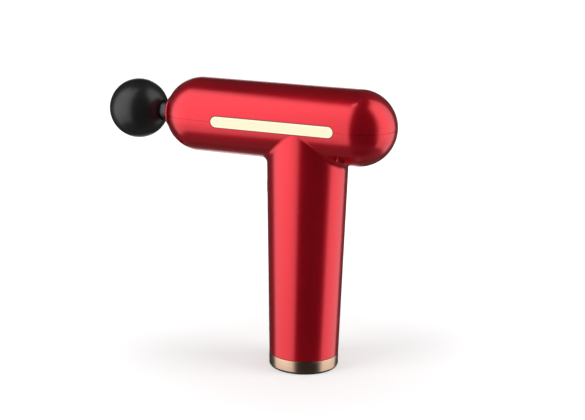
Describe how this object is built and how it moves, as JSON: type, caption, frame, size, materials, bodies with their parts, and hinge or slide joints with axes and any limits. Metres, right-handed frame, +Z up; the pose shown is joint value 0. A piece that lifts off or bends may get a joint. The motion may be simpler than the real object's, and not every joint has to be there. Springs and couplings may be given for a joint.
{
  "type": "massage gun",
  "caption": "Handheld percussion massager: capsule barrel with a push-in ball head on a reciprocating piston, tapered grip, metal base ring and side light strips.",
  "frame": {"origin": "centre of the foot pad's underside, on the grip's axis", "axes": "+Z up along the grip, -X towards the massage head along the barrel, +Y to the right side of someone looking along -X with Z up"},
  "size_m": [0.1809, 0.0446, 0.168],
  "materials": {
    "casing_red": "metallic red lacquer over moulded plastic, satin gloss",
    "light_guide": "smooth milky light guide, warm white",
    "champagne_metal": "champagne anodised, fine turned grain",
    "black_plastic": "moulded black plastic",
    "foot_rubber": "matt rubber",
    "head_rubber": "smooth satin black",
    "black_alloy": "black hard anodised, polished",
    "steel": "bright steel",
    "screw_steel": "black oxide",
    "frame_nylon": "glass-filled nylon",
    "bush_plastic": "natural acetal",
    "motor_alloy": "machined",
    "copper_winding": "lamination stack with enamelled copper",
    "magnet": "nickel plated magnet ring",
    "circuit_board": "solder resist",
    "led_board_white": "white solder resist",
    "cell_wrap": "shrink-wrapped cell"
  },
  "bodies": {
    "casing": {"upper_shell": "casing_red", "lower_body": "casing_red", "nose_collar": "casing_red", "nose_seal": "foot_rubber", "light_strip_left": "light_guide", "light_strip_right": "light_guide", "led_board_left": "led_board_white", "led_board_right": "led_board_white", "case_screw_1": "screw_steel", "case_screw_2": "screw_steel", "case_screw_3": "screw_steel", "case_screw_4": "screw_steel", "drive_frame": "frame_nylon", "guide_bush": "bush_plastic", "frame_damper_front": "foot_rubber", "frame_damper_rear": "foot_rubber", "motor_mount": "motor_alloy", "motor_screw_1": "screw_steel", "motor_screw_2": "screw_steel", "motor_screw_3": "screw_steel", "motor_bearing_lower": "steel", "motor_bearing_upper": "steel", "motor_stator": "copper_winding", "cell_tray_lower": "black_plastic", "cell_tray_upper": "black_plastic", "battery_cell_1": "cell_wrap", "battery_cell_2": "cell_wrap", "cell_link": "steel", "control_board": "circuit_board", "base_ring": "champagne_metal", "base_cover": "black_plastic", "foot_pad": "foot_rubber", "base_screw_1": "screw_steel", "base_screw_2": "screw_steel", "charge_port": "steel", "charge_board": "circuit_board", "button_bezel": "champagne_metal", "button_switch": "black_plastic", "button_board": "circuit_board"},
    "rotor": {"rotor_can": "steel", "rotor_magnets": "magnet", "motor_shaft": "steel", "crank_disc": "steel"},
    "piston": {"piston": "black_alloy", "wrist_pin": "steel"},
    "rod": {"connecting_rod": "motor_alloy", "rod_bearing": "steel", "crank_pin": "screw_steel"},
    "head": {"head_ball": "head_rubber", "head_stem": "frame_nylon", "stem_ring": "foot_rubber"},
    "button": {"power_button": "casing_red"}
  },
  "joints": [
    {"name": "motor_spin", "type": "hinge", "parent": "casing", "child": "rotor", "pos_m": [0, 0, 0.12], "axis": [0, 0, 1], "continuous": true},
    {"name": "piston_slide", "type": "slide", "parent": "casing", "child": "piston", "axis": [-1, 0, 0], "range_m": [0, 0.008]},
    {"name": "rod_swing", "type": "hinge", "parent": "piston", "child": "rod", "pos_m": [-0.03, 0, 0.146], "axis": [0, 0, 1], "range_deg": [-7, 7]},
    {"name": "head_pull", "type": "slide", "parent": "piston", "child": "head", "axis": [-1, 0, 0], "range_m": [0, 0.03]},
    {"name": "button_press", "type": "slide", "parent": "casing", "child": "button", "axis": [1, 0, 0], "range_m": [0, 0.0005], "stiffness_N_per_m": 800, "springref_m": -0.002}
  ]
}
